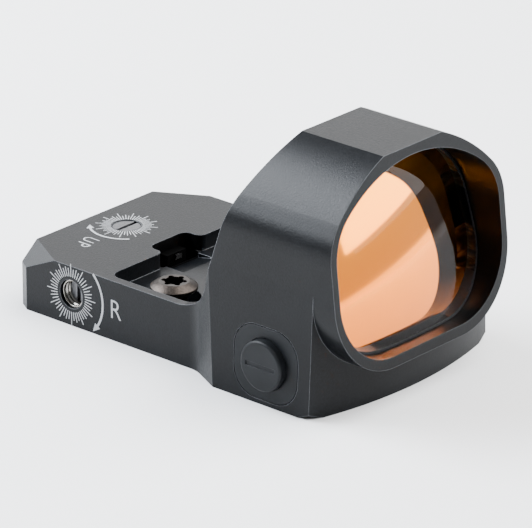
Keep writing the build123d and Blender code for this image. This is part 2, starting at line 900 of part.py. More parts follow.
def make_mounting_screw(x):
    """Button head screw with a six-lobe socket."""
    y = screw_y
    top = screw_head_bottom + screw_head_height
    head = post(x, y, screw_head_radius, screw_head_bottom, top)
    rim_z = screw_head_bottom + screw_head_rim
    spread = screw_head_radius**2 - screw_head_flat**2
    centre_z = (top**2 - rim_z**2 - spread) / (2 * (top - rim_z))
    dome = math.sqrt(screw_head_radius**2 + (rim_z - centre_z) ** 2)
    head = head & (Pos(x, y, centre_z) * Sphere(dome))
    foot = head.edges().filter_by(GeomType.CIRCLE).sort_by(Axis.Z)[0]
    head = chamfer(foot, screw_head_foot)
    socket = post(x, y, socket_core_radius, top - socket_depth, tall)
    for index in range(6):
        turn = math.radians(60 * index)
        lobe_x = x + socket_lobe_offset * math.cos(turn)
        lobe_y = y + socket_lobe_offset * math.sin(turn)
        socket += post(lobe_x, lobe_y, socket_lobe_radius, top - socket_depth, tall)
    shank = post(x, y, screw_shank_radius, 0, screw_head_bottom + 0.1)
    shank = chamfer(shank.edges().sort_by(Axis.Z)[0], 0.2)
    return head + shank - socket


def save(name, shape):
    """Write one node, with the origin at the middle of the length."""
    export_step(Pos(0, -overall_length / 2, 0) * shape, "parts/" + name + ".step")


os.makedirs("parts", exist_ok=True)
blank = make_blank()
parts = {"housing": make_housing(blank)}
parts.update(make_lens_parts())
parts.update(make_base_plate())
parts.update(make_elevation())
parts.update(make_carriage())
parts.update(make_windage())
parts.update(make_board())
parts.update(make_battery())
parts.update(make_button(-1, blank))
parts.update(make_button(1, blank))
parts["switch_leads"] = make_leads()
parts["mounting_screws"] = Compound(
    children=[make_mounting_screw(x) for x in (-screw_x, screw_x)]
)
for name, shape in parts.items():
    save(name, shape)
print("nodes", len(parts), "length", round(overall_length, 3))
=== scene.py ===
import json
import math
import bpy
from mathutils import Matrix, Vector

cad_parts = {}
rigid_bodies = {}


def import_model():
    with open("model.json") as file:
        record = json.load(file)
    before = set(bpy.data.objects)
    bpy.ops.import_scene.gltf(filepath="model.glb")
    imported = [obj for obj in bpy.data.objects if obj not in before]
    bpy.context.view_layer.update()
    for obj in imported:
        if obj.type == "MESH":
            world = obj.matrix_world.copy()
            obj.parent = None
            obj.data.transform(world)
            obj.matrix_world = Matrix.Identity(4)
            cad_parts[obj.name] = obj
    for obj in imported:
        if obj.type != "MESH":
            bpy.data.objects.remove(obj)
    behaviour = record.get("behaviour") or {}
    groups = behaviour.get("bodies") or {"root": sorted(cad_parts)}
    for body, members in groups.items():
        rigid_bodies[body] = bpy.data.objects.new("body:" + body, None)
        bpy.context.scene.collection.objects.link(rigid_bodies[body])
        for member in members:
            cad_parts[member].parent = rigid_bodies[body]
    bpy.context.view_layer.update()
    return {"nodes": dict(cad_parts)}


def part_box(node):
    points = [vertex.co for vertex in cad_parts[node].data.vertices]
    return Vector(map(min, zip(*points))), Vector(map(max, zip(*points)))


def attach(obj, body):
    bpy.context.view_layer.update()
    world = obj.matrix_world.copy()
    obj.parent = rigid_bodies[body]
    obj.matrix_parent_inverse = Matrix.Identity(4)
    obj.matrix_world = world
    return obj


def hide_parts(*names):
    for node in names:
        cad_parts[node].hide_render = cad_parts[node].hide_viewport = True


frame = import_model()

MM = 0.001
REAR_EDGE = -23.825


def mm(x, y, z):
    """A point in millimetres as metres."""
    return Vector((x * MM, y * MM, z * MM))


# The lens: its foot, the hood over it, and the spheres its faces are cut from.
LENS_FOOT_Z = 5.5
LENS_FOOT_FROM_REAR = 45.7
HOOD_TOP = 26.8
HOOD_TOP_WALL = 1.05
LENS_RADIUS = 75.0
LENS_MIDDLE_DEPTH = 1.0
COATING_DEPTH = 1.8
LENS_SLOPE = 0.33
LENS_CENTRE_Z = (LENS_FOOT_Z + HOOD_TOP - HOOD_TOP_WALL) / 2
LENS_MIDDLE_Y = REAR_EDGE + LENS_FOOT_FROM_REAR - LENS_SLOPE * (LENS_CENTRE_Z - LENS_FOOT_Z)
LENS_BACK = (LENS_RADIUS - LENS_MIDDLE_DEPTH) / math.sqrt(1 + LENS_SLOPE ** 2)
BALL = mm(0, LENS_MIDDLE_Y - LENS_BACK, LENS_CENTRE_Z - LENS_BACK * LENS_SLOPE)

# Edges of the housing's two regions painted near black as painted shade, the hood's tunnel and the
# emitter notch, in millimetres.
TUNNEL_MIDDLE_Z = 15.6
TUNNEL_STARTS = 4.0
TUNNEL_FULL = 6.0
NOTCH_HALF_WIDTH = 3.4
NOTCH_FRONT = -10.9
NOTCH_REAR = -13.6
NOTCH_TOP = 6.88
NOTCH_FLOOR = 0.2

# The mounting screws and their sockets, in millimetres.
SCREW_ACROSS = 8.1
SCREW_FROM_REAR = 19.15
SOCKET_RADIUS = 1.46
SOCKET_TOP = 6.90
SOCKET_FLOOR = 5.2

# Shine of the black finishes; a plain dielectric would be 0.5.
BLACK_SPECULAR = 0.13


# ---------------------------------------------------------------- node groups

def new_group(name, inputs, outputs):
    """A shader node group with float inputs and named outputs."""
    group = bpy.data.node_groups.new(name, "ShaderNodeTree")
    for label, default in inputs:
        socket = group.interface.new_socket(label, in_out="INPUT", socket_type="NodeSocketFloat")
        socket.default_value = default
    for label, kind in outputs:
        group.interface.new_socket(label, in_out="OUTPUT", socket_type=kind)
    entry = group.nodes.new("NodeGroupInput")
    leave = group.nodes.new("NodeGroupOutput")
    return group, entry, leave


def math_node(tree, operation, first, second=None, clamp=False):
    """A Math node fed by sockets or numbers."""
    node = tree.nodes.new("ShaderNodeMath")
    node.operation = operation
    node.use_clamp = clamp
    for index, value in enumerate((first, second)):
        if value is None:
            continue
        if isinstance(value, (int, float)):
            node.inputs[index].default_value = value
        else:
            tree.links.new(value, node.inputs[index])
    return node.outputs[0]


def noise_node(tree, vector, scale, detail=4.0, roughness=0.5):
    """A Noise texture; scale is a number or a socket."""
    node = tree.nodes.new("ShaderNodeTexNoise")
    node.inputs["Detail"].default_value = detail
    node.inputs["Roughness"].default_value = roughness
    tree.links.new(vector, node.inputs["Vector"])
    if isinstance(scale, (int, float)):
        node.inputs["Scale"].default_value = scale
    else:
        tree.links.new(scale, node.inputs["Scale"])
    return node.outputs["Fac"]


def remap(tree, value, low, high, new_low, new_high):
    """Map Range with clamping."""
    node = tree.nodes.new("ShaderNodeMapRange")
    for index, number in enumerate((low, high, new_low, new_high)):
        node.inputs[index + 1].default_value = number
    tree.links.new(value, node.inputs[0])
    return node.outputs[0]


def all_of(tree, *masks):
    """Mask that is on only where all the masks are."""
    result = masks[0]
    for mask in masks[1:]:
        result = math_node(tree, "MULTIPLY", result, mask)
    return result


def object_axes(tree):
    """X, Y and Z of the shaded point in the part's frame, in metres."""
    place = tree.nodes.new("ShaderNodeTexCoord")
    split = tree.nodes.new("ShaderNodeSeparateXYZ")
    tree.links.new(place.outputs["Object"], split.inputs[0])
    return split.outputs


def make_blast_group():
    """Bead-blasted surface: fine speckle, its height and slow tone drift."""
    group, entry, leave = new_group(
        "blasted surface",
        [("Grain per metre", 9000.0), ("Drift per metre", 120.0)],
        [("Speckle", "NodeSocketFloat"), ("Height", "NodeSocketFloat"),
         ("Drift", "NodeSocketFloat")],
    )
    place = group.nodes.new("ShaderNodeTexCoord")
    fine = noise_node(group, place.outputs["Object"], entry.outputs[0], 3.0, 0.65)
    cells = group.nodes.new("ShaderNodeTexVoronoi")
    group.links.new(place.outputs["Object"], cells.inputs["Vector"])
    group.links.new(entry.outputs[0], cells.inputs["Scale"])
    slow = noise_node(group, place.outputs["Object"], entry.outputs[1], 2.0)
    pits = remap(group, cells.outputs["Distance"], 0.0, 0.7, 0.0, 1.0)
    height = math_node(group, "ADD", math_node(group, "MULTIPLY", fine, 0.7),
                       math_node(group, "MULTIPLY", pits, 0.3))
    group.links.new(remap(group, fine, 0.35, 0.65, 0.0, 1.0), leave.inputs[0])
    group.links.new(height, leave.inputs[1])
    group.links.new(remap(group, slow, 0.3, 0.7, 0.0, 1.0), leave.inputs[2])
    return group


def make_edge_group():
    """Mask of sharp edges and the rounded normal over them."""
    group, entry, leave = new_group(
        "sharp edge mask", [("Radius", 0.00012), ("Sharpness", 2.0)],
        [("Mask", "NodeSocketFloat"), ("Normal", "NodeSocketVector")],
    )
    bevel = group.nodes.new("ShaderNodeBevel")
    bevel.samples = 6
    group.links.new(entry.outputs[0], bevel.inputs["Radius"])
    shape = group.nodes.new("ShaderNodeNewGeometry")
    dot = group.nodes.new("ShaderNodeVectorMath")
    dot.operation = "DOT_PRODUCT"
    group.links.new(bevel.outputs["Normal"], dot.inputs[0])
    group.links.new(shape.outputs["Normal"], dot.inputs[1])
    away = math_node(group, "SUBTRACT", 1.0, dot.outputs["Value"])
    mask = math_node(group, "MULTIPLY", away, entry.outputs[1], clamp=True)
    group.links.new(mask, leave.inputs[0])
    group.links.new(bevel.outputs["Normal"], leave.inputs[1])
    return group


def make_turning_group():
    """Rings left by a lathe, about the axis through the pattern's origin."""
    group, entry, leave = new_group(
        "turned rings", [("Rings per metre", 9000.0)],
        [("Rings", "NodeSocketFloat"), ("Scratches", "NodeSocketFloat")],
    )
    place = group.nodes.new("ShaderNodeTexCoord")
    rings = group.nodes.new("ShaderNodeTexWave")
    rings.wave_type = "RINGS"
    rings.inputs["Distortion"].default_value = 0.6
    group.links.new(place.outputs["Object"], rings.inputs["Vector"])
    group.links.new(entry.outputs[0], rings.inputs["Scale"])
    fine = noise_node(group, place.outputs["Object"], 4000.0, 5.0, 0.7)
    group.links.new(rings.outputs["Fac"], leave.inputs[0])
    group.links.new(fine, leave.inputs[1])
    return group


def make_ball_group():
    """True normal of the lens spheres over their faces, and the mesh's own elsewhere."""
    group, entry, leave = new_group("lens sphere normal", [], [("Normal", "NodeSocketVector")])
    place = group.nodes.new("ShaderNodeTexCoord")
    shape = group.nodes.new("ShaderNodeNewGeometry")
    ray = group.nodes.new("ShaderNodeVectorMath")
    ray.operation = "SUBTRACT"
    ray.inputs[1].default_value = BALL
    group.links.new(place.outputs["Object"], ray.inputs[0])
    unit = group.nodes.new("ShaderNodeVectorMath")
    unit.operation = "NORMALIZE"
    group.links.new(ray.outputs[0], unit.inputs[0])
    world = group.nodes.new("ShaderNodeVectorTransform")
    world.vector_type = "NORMAL"
    world.convert_from = "OBJECT"
    world.convert_to = "WORLD"
    group.links.new(unit.outputs[0], world.inputs[0])
    dot = group.nodes.new("ShaderNodeVectorMath")
    dot.operation = "DOT_PRODUCT"
    group.links.new(world.outputs[0], dot.inputs[0])
    group.links.new(shape.outputs["True Normal"], dot.inputs[1])
    sign = math_node(group, "SIGN", dot.outputs["Value"])
    turned = group.nodes.new("ShaderNodeVectorMath")
    turned.operation = "SCALE"
    group.links.new(world.outputs[0], turned.inputs[0])
    group.links.new(sign, turned.inputs["Scale"])
    along = math_node(group, "GREATER_THAN", math_node(group, "ABSOLUTE", dot.outputs["Value"]),
                      0.97)
    pick = group.nodes.new("ShaderNodeMix")
    pick.data_type = "VECTOR"
    group.links.new(along, pick.inputs[0])
    group.links.new(shape.outputs["True Normal"], pick.inputs[4])
    group.links.new(turned.outputs[0], pick.inputs[5])
    group.links.new(pick.outputs[1], leave.inputs["Normal"])
    return group


BALL_NORMAL = make_ball_group()
BLAST = make_blast_group()
EDGES = make_edge_group()
TURNED = make_turning_group()


def place_group(tree, group, values=()):
    """Place a node group with its own input values."""
    node = tree.nodes.new("ShaderNodeGroup")
    node.node_tree = group
    for index, value in enumerate(values):
        node.inputs[index].default_value = value
    return node


def start_material(name):
    """A node material with its Principled shader."""
    material = bpy.data.materials.new(name)
    material.use_nodes = True
    tree = material.node_tree
    return material, tree, tree.nodes["Principled BSDF"]


def blend_colour(tree, mask, first, second):
    """Mix two colours, each a tuple or a socket, by a mask."""
    node = tree.nodes.new("ShaderNodeMix")
    node.data_type = "RGBA"
    tree.links.new(mask, node.inputs[0])
    for index, value in ((6, first), (7, second)):
        if isinstance(value, tuple):
            node.inputs[index].default_value = (*value, 1.0)
        else:
            tree.links.new(value, node.inputs[index])
    return node.outputs[2]


def bump_node(tree, height, strength, distance, normal=None):
    """Bump node; distance in metres."""
    node = tree.nodes.new("ShaderNodeBump")
    node.inputs["Strength"].default_value = strength
    node.inputs["Distance"].default_value = distance
    tree.links.new(height, node.inputs["Height"])
    if normal is not None:
        tree.links.new(normal, node.inputs["Normal"])
    return node.outputs["Normal"]


def blasted_metal(name, dark, light, edge_highlight, rough, metal, edge_radius=0.00012, grain=9000.0,
                  grain_depth=0.000006):
    """Anodised blasted aluminium, glossier along its edges, which are painted a lighter grey as a
    painted highlight.
    """
    material, tree, shader = start_material(name)
    blast = place_group(tree, BLAST, (grain, 130.0))
    edges = place_group(tree, EDGES, (edge_radius, 2.2))
    tone = math_node(tree, "ADD", math_node(tree, "MULTIPLY", blast.outputs["Speckle"], 0.65),
                     math_node(tree, "MULTIPLY", blast.outputs["Drift"], 0.35))
    body = blend_colour(tree, tone, dark, light)
    # Painted highlight: sharp edges take a lighter grey colour.
    colour = blend_colour(tree, edges.outputs["Mask"], body, edge_highlight)
    tree.links.new(colour, shader.inputs["Base Color"])
    base_rough = remap(tree, blast.outputs["Speckle"], 0.0, 1.0, rough - 0.04, rough + 0.05)
    polish = math_node(tree, "MULTIPLY", edges.outputs["Mask"], 0.12)
    tree.links.new(math_node(tree, "SUBTRACT", base_rough, polish, clamp=True),
                   shader.inputs["Roughness"])
    shader.inputs["Metallic"].default_value = metal
    normal = bump_node(tree, blast.outputs["Height"], 0.5, grain_depth, edges.outputs["Normal"])
    tree.links.new(normal, shader.inputs["Normal"])
    return material


def housing_material(name):
    """Blasted anodising outside; the hood's tunnel and the emitter notch painted near black as
    painted shade, the tunnel also glossier.
    """
    material = blasted_metal(name, (0.0004, 0.0006, 0.0010), (0.0034, 0.0042, 0.0054),
                             (0.22, 0.23, 0.25), 0.33, 0.0, grain=4600.0, grain_depth=0.00003)
    tree = material.node_tree
    shader = tree.nodes["Principled BSDF"]
    shader.inputs["Specular IOR Level"].default_value = BLACK_SPECULAR
    shape = tree.nodes.new("ShaderNodeNewGeometry")
    axes = object_axes(tree)
    inward = tree.nodes.new("ShaderNodeCombineXYZ")
    tree.links.new(math_node(tree, "MULTIPLY", axes["X"], -1.0), inward.inputs["X"])
    tree.links.new(math_node(tree, "SUBTRACT", TUNNEL_MIDDLE_Z * MM, axes["Z"]),
                   inward.inputs["Z"])
    dot = tree.nodes.new("ShaderNodeVectorMath")
    dot.operation = "DOT_PRODUCT"
    tree.links.new(inward.outputs[0], dot.inputs[0])
    tree.links.new(shape.outputs["Normal"], dot.inputs[1])
    facing = remap(tree, dot.outputs["Value"], 0.0005, 0.002, 0.0, 1.0)
    front = remap(tree, axes["Y"], TUNNEL_STARTS * MM, TUNNEL_FULL * MM, 0.0, 1.0)
    tunnel = all_of(tree, facing, front)
    notch = all_of(
        tree,
        math_node(tree, "LESS_THAN", math_node(tree, "ABSOLUTE", axes["X"]), NOTCH_HALF_WIDTH * MM),
        math_node(tree, "LESS_THAN", axes["Y"], NOTCH_FRONT * MM),
        math_node(tree, "GREATER_THAN", axes["Y"], NOTCH_REAR * MM),
        math_node(tree, "LESS_THAN", axes["Z"], NOTCH_TOP * MM),
        math_node(tree, "GREATER_THAN", axes["Z"], NOTCH_FLOOR * MM),
    )
    # Painted shade: the hood's tunnel and the notch take a near-black colour in place of the shade
    # inside them.
    dark = math_node(tree, "MAXIMUM", tunnel, notch)
    old_colour = shader.inputs["Base Color"].links[0].from_socket
    tree.links.new(blend_colour(tree, dark, old_colour, (0.0008, 0.0008, 0.0009)),
                   shader.inputs["Base Color"])
    old_rough = shader.inputs["Roughness"].links[0].from_socket
    gloss = tree.nodes.new("ShaderNodeMix")
    tree.links.new(tunnel, gloss.inputs[0])
    tree.links.new(old_rough, gloss.inputs[2])
    gloss.inputs[3].default_value = 0.3
    tree.links.new(gloss.outputs[0], shader.inputs["Roughness"])
    return material


def turned_metal(name, dark, light, rough):
    """Machined metal with fine rings and scratches."""
    material, tree, shader = start_material(name)
    turned = place_group(tree, TURNED, (9000.0,))
    edges = place_group(tree, EDGES, (0.00008, 2.0))
    tone = remap(tree, turned.outputs["Scratches"], 0.3, 0.7, 0.0, 1.0)
    colour = blend_colour(tree, tone, dark, light)
    tree.links.new(colour, shader.inputs["Base Color"])
    tree.links.new(remap(tree, turned.outputs["Scratches"], 0.2, 0.8, rough - 0.06, rough + 0.1),
                   shader.inputs["Roughness"])
    shader.inputs["Metallic"].default_value = 1.0
    normal = bump_node(tree, turned.outputs["Rings"], 0.25, 0.000004, edges.outputs["Normal"])
    tree.links.new(normal, shader.inputs["Normal"])
    return material


def screw_material(name):
    """Stainless head with its socket painted near black as painted shade in the recess."""
    material = turned_metal(name, (0.018, 0.0152, 0.0135), (0.062, 0.051, 0.044), 0.36)
    tree = material.node_tree
    shader = tree.nodes["Principled BSDF"]
    axes = object_axes(tree)
    across = math_node(tree, "SUBTRACT", math_node(tree, "ABSOLUTE", axes["X"]),
                       SCREW_ACROSS * MM)
    along = math_node(tree, "SUBTRACT", axes["Y"], (REAR_EDGE + SCREW_FROM_REAR) * MM)
    square = math_node(tree, "ADD", math_node(tree, "MULTIPLY", across, across),
                       math_node(tree, "MULTIPLY", along, along))
    socket = all_of(
        tree,
        math_node(tree, "LESS_THAN", math_node(tree, "SQRT", square), SOCKET_RADIUS * MM),
        math_node(tree, "LESS_THAN", axes["Z"], SOCKET_TOP * MM),
        math_node(tree, "GREATER_THAN", axes["Z"], SOCKET_FLOOR * MM),
    )
    # Painted shade: the socket's inside takes a near-black colour in place of the shade in the
    # hole.
    old_colour = shader.inputs["Base Color"].links[0].from_socket
    tree.links.new(blend_colour(tree, socket, old_colour, (0.012, 0.011, 0.010)),
                   shader.inputs["Base Color"])
    return material


def rubbery(name, dark, light, rough, grain=6000.0):
    """Moulded rubber or plastic with a fine texture and a painted highlight along its edges."""
    material, tree, shader = start_material(name)
    blast = place_group(tree, BLAST, (grain, 300.0))
    edges = place_group(tree, EDGES, (0.0001, 1.6))
    body = blend_colour(tree, blast.outputs["Drift"], dark, light)
    # Painted highlight: edges take a colour twice as light as the body.
    edge_highlight_colour = tuple(min(1.0, value * 2.0) for value in light)
    tree.links.new(blend_colour(tree, edges.outputs["Mask"], body, edge_highlight_colour),
                   shader.inputs["Base Color"])
    tree.links.new(remap(tree, blast.outputs["Speckle"], 0.0, 1.0, rough - 0.05, rough + 0.08),
                   shader.inputs["Roughness"])
    normal = bump_node(tree, blast.outputs["Height"], 0.4, 0.000006, edges.outputs["Normal"])
    tree.links.new(normal, shader.inputs["Normal"])
    shader.inputs["Specular IOR Level"].default_value = BLACK_SPECULAR
    return material


def plain_glass(name, tint, rough, ior, curved=True):
    """Polished glass with a faint uneven film; a curved one takes the lens spheres' normal."""
    material, tree, shader = start_material(name)
    place = tree.nodes.new("ShaderNodeTexCoord")
    film = noise_node(tree, place.outputs["Object"], 180.0, 2.0)
    tree.links.new(remap(tree, film, 0.3, 0.7, rough, rough + 0.015), shader.inputs["Roughness"])
    shader.inputs["Base Color"].default_value = (*tint, 1.0)
    shader.inputs["Transmission Weight"].default_value = 1.0
    shader.inputs["Specular IOR Level"].default_value = 0.12
    if curved:
        normal = place_group(tree, BALL_NORMAL).outputs["Normal"]
        tree.links.new(normal, shader.inputs["Normal"])
    shader.inputs["IOR"].default_value = ior
    return material


def board_material(name):
    """Green solder mask over a weave, with copper tracks."""
    material, tree, shader = start_material(name)
    place = tree.nodes.new("ShaderNodeTexCoord")
    brick = tree.nodes.new("ShaderNodeTexBrick")
    brick.inputs["Scale"].default_value = 900.0
    brick.inputs["Mortar Size"].default_value = 0.03
    brick.inputs["Color1"].default_value = (0.012, 0.10, 0.045, 1.0)
    brick.inputs["Color2"].default_value = (0.010, 0.08, 0.04, 1.0)
    brick.inputs["Mortar"].default_value = (0.05, 0.22, 0.09, 1.0)
    tree.links.new(place.outputs["Object"], brick.inputs["Vector"])
    tree.links.new(brick.outputs["Color"], shader.inputs["Base Color"])
    film = noise_node(tree, place.outputs["Object"], 3000.0)
    tree.links.new(remap(tree, film, 0.3, 0.7, 0.3, 0.45), shader.inputs["Roughness"])
    tree.links.new(bump_node(tree, brick.outputs["Fac"], 0.3, 0.00002), shader.inputs["Normal"])
    return material


def coating_material(name):
    """Dichroic mirror coating: orange, deeper towards the foot."""
    material, tree, shader = start_material(name)
    place = tree.nodes.new("ShaderNodeTexCoord")
    rise = remap(tree, object_axes(tree)["Z"], 6 * MM, 25 * MM, 0.0, 1.0)
    drift = noise_node(tree, place.outputs["Object"], 70.0, 2.0)
    rise = math_node(tree, "ADD", rise, math_node(tree, "MULTIPLY", drift, 0.25))
    ramp = tree.nodes.new("ShaderNodeValToRGB")
    ramp.color_ramp.elements[0].color = (0.52, 0.11, 0.0, 1.0)
    ramp.color_ramp.elements[1].color = (1.0, 0.32, 0.0, 1.0)
    middle = ramp.color_ramp.elements.new(0.45)
    middle.color = (0.95, 0.23, 0.0, 1.0)
    tree.links.new(rise, ramp.inputs[0])
    tree.links.new(ramp.outputs[0], shader.inputs["Base Color"])
    tree.links.new(remap(tree, drift, 0.3, 0.7, 0.03, 0.06), shader.inputs["Roughness"])
    shader.inputs["Metallic"].default_value = 1.0
    shape = tree.nodes.new("ShaderNodeNewGeometry")
    tree.links.new(remap(tree, shape.outputs["Backfacing"], 0.0, 1.0, 1.0, 0.25),
                   shader.inputs["Alpha"])
    tree.links.new(place_group(tree, BALL_NORMAL).outputs["Normal"], shader.inputs["Normal"])
    return material


def paint_material(name):
    """White laser mark with a slightly rough, uneven fill."""
    material, tree, shader = start_material(name)
    blast = place_group(tree, BLAST, (12000.0, 400.0))
    colour = blend_colour(tree, blast.outputs["Speckle"], (0.22, 0.225, 0.23), (0.40, 0.41, 0.42))
    tree.links.new(colour, shader.inputs["Base Color"])
    tree.links.new(remap(tree, blast.outputs["Speckle"], 0.0, 1.0, 0.6, 0.75),
                   shader.inputs["Roughness"])
    tree.links.new(bump_node(tree, blast.outputs["Height"], 0.4, 0.000004),
                   shader.inputs["Normal"])
    return material


housing_finish = housing_material("blasted dark anodising")
plate_finish = blasted_metal("plate anodising", (0.014, 0.015, 0.017), (0.024, 0.026, 0.028),
                             (0.15, 0.15, 0.16), 0.42, 0.0)
rubber_finish = rubbery("button rubber", (0.004, 0.0048, 0.0056), (0.008, 0.009, 0.0105), 0.42)
seal_finish = rubbery("seal rubber", (0.008, 0.008, 0.009), (0.015, 0.015, 0.016), 0.45)
# LED carriage and holder: a black part, darkened nearly to zero and stripped of shine as painted
# shade inside the notch.
notch_shade_black_finish = rubbery("black with painted notch shade", (0.0003, 0.0003, 0.0003),
                        (0.0006, 0.0006, 0.0006), 0.85)
notch_shade_black_shader = notch_shade_black_finish.node_tree.nodes["Principled BSDF"]
notch_shade_black_shader.inputs["Specular IOR Level"].default_value = 0.02
plastic_finish = rubbery("black plastic", (0.010, 0.010, 0.011), (0.018, 0.018, 0.020), 0.5)
screw_finish = screw_material("stainless head")
steel_finish = turned_metal("bright steel", (0.50, 0.46, 0.42), (0.72, 0.68, 0.64), 0.22)
nickel_finish = turned_metal("bright nickel", (0.20, 0.19, 0.17), (0.36, 0.345, 0.32), 0.2)
black_steel_finish = turned_metal("black oxide", (0.10, 0.10, 0.11), (0.20, 0.205, 0.21), 0.38)
brass_finish = turned_metal("machined brass", (0.62, 0.44, 0.18), (0.80, 0.62, 0.30), 0.28)
gold_finish = turned_metal("gold flash", (0.75, 0.52, 0.22), (0.9, 0.68, 0.35), 0.25)
board_finish = board_material("solder mask")
lead_finish = rubbery("red insulation", (0.40, 0.02, 0.015), (0.52, 0.04, 0.03), 0.4)
ceramic_finish = rubbery("ceramic", (0.42, 0.30, 0.20), (0.55, 0.40, 0.28), 0.5)
emitter_finish = plain_glass("emitter resin", (0.95, 0.9, 0.8), 0.05, 1.5, curved=False)
front_glass = plain_glass("front crown glass", (0.97, 0.98, 0.98), 0.0, 1.2)
rear_glass = plain_glass("rear flint glass", (0.86, 0.93, 0.94), 0.0, 1.2)
coating_finish = coating_material("dichroic coating")
rim_finish = rubbery("blackened glass rim", (0.004, 0.004, 0.004), (0.008, 0.008, 0.008), 0.35)
mark_finish = paint_material("laser mark")

finish_of = {
    "housing": housing_finish,
    "base_plate": plate_finish,
    "battery_cap": plate_finish,
    "base_plate_gasket": seal_finish,
    "base_plate_screws": steel_finish,
    "lens_front_element": front_glass,
    "lens_rear_element": rear_glass,
    "lens_seal": seal_finish,
    "elevation_retainer": brass_finish,
    "windage_bushing": nickel_finish,
    "elevation_screw": black_steel_finish,
    "windage_screw": black_steel_finish,
    "elevation_oring": seal_finish,
    "windage_oring": seal_finish,
    "windage_retainer": steel_finish,
    "windage_nut": brass_finish,
    "elevation_slide": brass_finish,
    "led_carriage": notch_shade_black_finish,
    "led_holder": notch_shade_black_finish,
    "led_chip": emitter_finish,
    "circuit_board": board_finish,
    "controller_chip": plastic_finish,
    "motion_sensor": steel_finish,
    "capacitors": ceramic_finish,
    "battery_contact_negative": gold_finish,
    "battery_contact_positive": gold_finish,
    "battery": nickel_finish,
    "battery_cap_oring": seal_finish,
    "button_pad_left": rubber_finish,
    "button_pad_right": rubber_finish,
    "button_left": rubber_finish,
    "button_right": rubber_finish,
    "switch_board_left": board_finish,
    "switch_board_right": board_finish,
    "dome_switch_left": steel_finish,
    "dome_switch_right": steel_finish,
    "switch_leads": lead_finish,
    "mounting_screws": screw_finish,
}

nodes = frame["nodes"]
for name, finish in finish_of.items():
    obj = nodes[name]
    obj.data.materials.clear()
    obj.data.materials.append(finish)


# ---------------------------------------------------------------- new pieces

def clear_selection():
    """Deselect everything."""
    if bpy.context.object and bpy.context.object.mode != "OBJECT":
        bpy.ops.object.mode_set(mode="OBJECT")
    bpy.ops.object.select_all(action="DESELECT")


def edit_all(*steps):
    """Run mesh operators, each given with its values, on the whole active mesh."""
    bpy.ops.object.mode_set(mode="EDIT")
    bpy.ops.mesh.select_all(action="SELECT")
    for operator, values in steps:
        operator(**values)
    bpy.ops.object.mode_set(mode="OBJECT")


def finish_piece(obj, name, material, body):
    """Name a piece, bake its place into its mesh and let it ride."""
    clear_selection()
    obj.select_set(True)
    bpy.context.view_layer.objects.active = obj
    bpy.ops.object.transform_apply(location=True, rotation=True, scale=True)
    obj.name = name
    obj.data.name = name
    obj.data.materials.clear()
    obj.data.materials.append(material)
    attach(obj, body)
    return obj


def join_all(pieces):
    """Join pieces into the first."""
    clear_selection()
    for piece in pieces:
        piece.select_set(True)
    bpy.context.view_layer.objects.active = pieces[0]
    bpy.ops.object.join()
    return bpy.context.object


MARK_THICKNESS = 0.02
TICKS = 48
TICK_WIDTH = 0.1
CAPITAL_HEIGHT = 0.73   # of the built-in font, for a text size of 1


def add_tick(inner, outer, width, angle):
    """Thin straight tick in the X-Y plane, pointing out from the origin."""
    clear_selection()
    middle = (inner + outer) / 2 * MM
    bpy.ops.mesh.primitive_cube_add(size=1, location=(middle, 0, 0))
    tick = bpy.context.object
    tick.scale = ((outer - inner) * MM, width * MM, MARK_THICKNESS * MM)
    bpy.ops.object.transform_apply(location=True, rotation=False, scale=True)
    tick.rotation_euler = (0, 0, math.radians(angle))
    bpy.ops.object.transform_apply(location=False, rotation=True, scale=False)
    return tick


def dial_ticks(inner, short, middle, long_end):
    """Ring of ticks about the origin, with longer ones between."""
    ticks = []
    for index in range(TICKS):
        outer = short
        if index % 4 == 0:
            outer = long_end
        elif index % 2 == 0:
            outer = middle
        ticks.append(add_tick(inner, outer, TICK_WIDTH, index * 360 / TICKS))
    return join_all(ticks)


def chain(points):
    """Open or closed chain of vertices, extruded one from the last, in millimetres."""
    clear_selection()
    bpy.ops.mesh.primitive_plane_add(size=0.001, location=mm(*points[0]))
    line = bpy.context.object
    bpy.ops.object.transform_apply(location=True, rotation=True, scale=True)
    bpy.ops.object.mode_set(mode="EDIT")
    bpy.ops.mesh.select_all(action="SELECT")
    bpy.ops.mesh.merge(type="CENTER")
    for start, end in zip(points, points[1:]):
        step = mm(*end) - mm(*start)
        bpy.ops.mesh.extrude_region_move(TRANSFORM_OT_translate={"value": step})
    bpy.ops.object.mode_set(mode="OBJECT")
    return line


def tidy_normals(obj):
    """Merge doubles and point all faces outwards."""
    edit_all((bpy.ops.mesh.remove_doubles, {"threshold": 0.000001}),
             (bpy.ops.mesh.normals_make_consistent, {"inside": False}))
    return obj


def spin_all(steps, angle):
    """Spin the whole active mesh about Z."""
    edit_all((bpy.ops.mesh.spin, {"steps": steps, "angle": angle, "center": (0, 0, 0),
                                  "axis": (0, 0, 1)}))


def lathe(points, steps):
    """Spin a profile of (radius, height) points about Z."""
    line = chain([(radius, 0, height) for radius, height in points])
    spin_all(steps, 2 * math.pi)
    return tidy_normals(line)


def thicken(obj, thickness):
    """Give a flat X-Y face a thickness upwards."""
    lift = {"TRANSFORM_OT_translate": {"value": (0, 0, thickness * MM)}}
    edit_all((bpy.ops.mesh.extrude_region_move, lift))
    return tidy_normals(obj)


